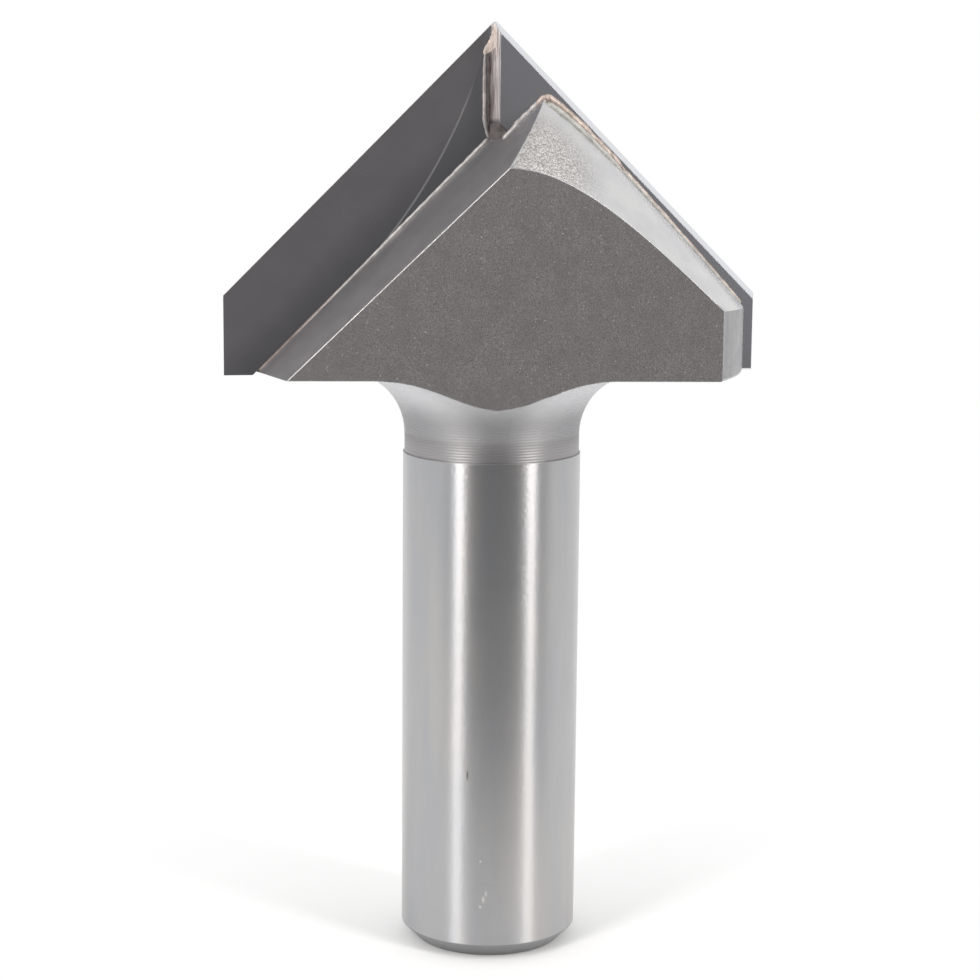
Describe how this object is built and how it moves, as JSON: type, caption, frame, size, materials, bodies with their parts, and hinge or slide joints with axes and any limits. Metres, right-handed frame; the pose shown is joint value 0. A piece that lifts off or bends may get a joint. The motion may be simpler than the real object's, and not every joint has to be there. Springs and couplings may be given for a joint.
{
  "type": "v groove router bit",
  "caption": "Carbide-tipped right-angle V groove router bit: plain round shank, flared neck and a winged steel head with brazed-in inserts.",
  "frame": {"origin": "centre of the shank's flat end face, which is the bottom of the standing bit", "axes": "+Z along the axis from the shank's end to the cutting tip; +X along the plane of the two cutting edges; the left cutting edge's face looks along -Y"},
  "size_m": [0.0382, 0.0174, 0.0661],
  "materials": {
    "steel": "ground shank, bead-blasted head",
    "carbide": "smooth dark grey, finely ground faces",
    "braze": "dull pinkish tan, lumpy fillet"
  },
  "bodies": {
    "root": {"steel_body": "steel", "carbide_insert_1": "carbide", "carbide_insert_2": "carbide", "braze_joint_1": "braze", "braze_joint_2": "braze"}
  },
  "joints": []
}
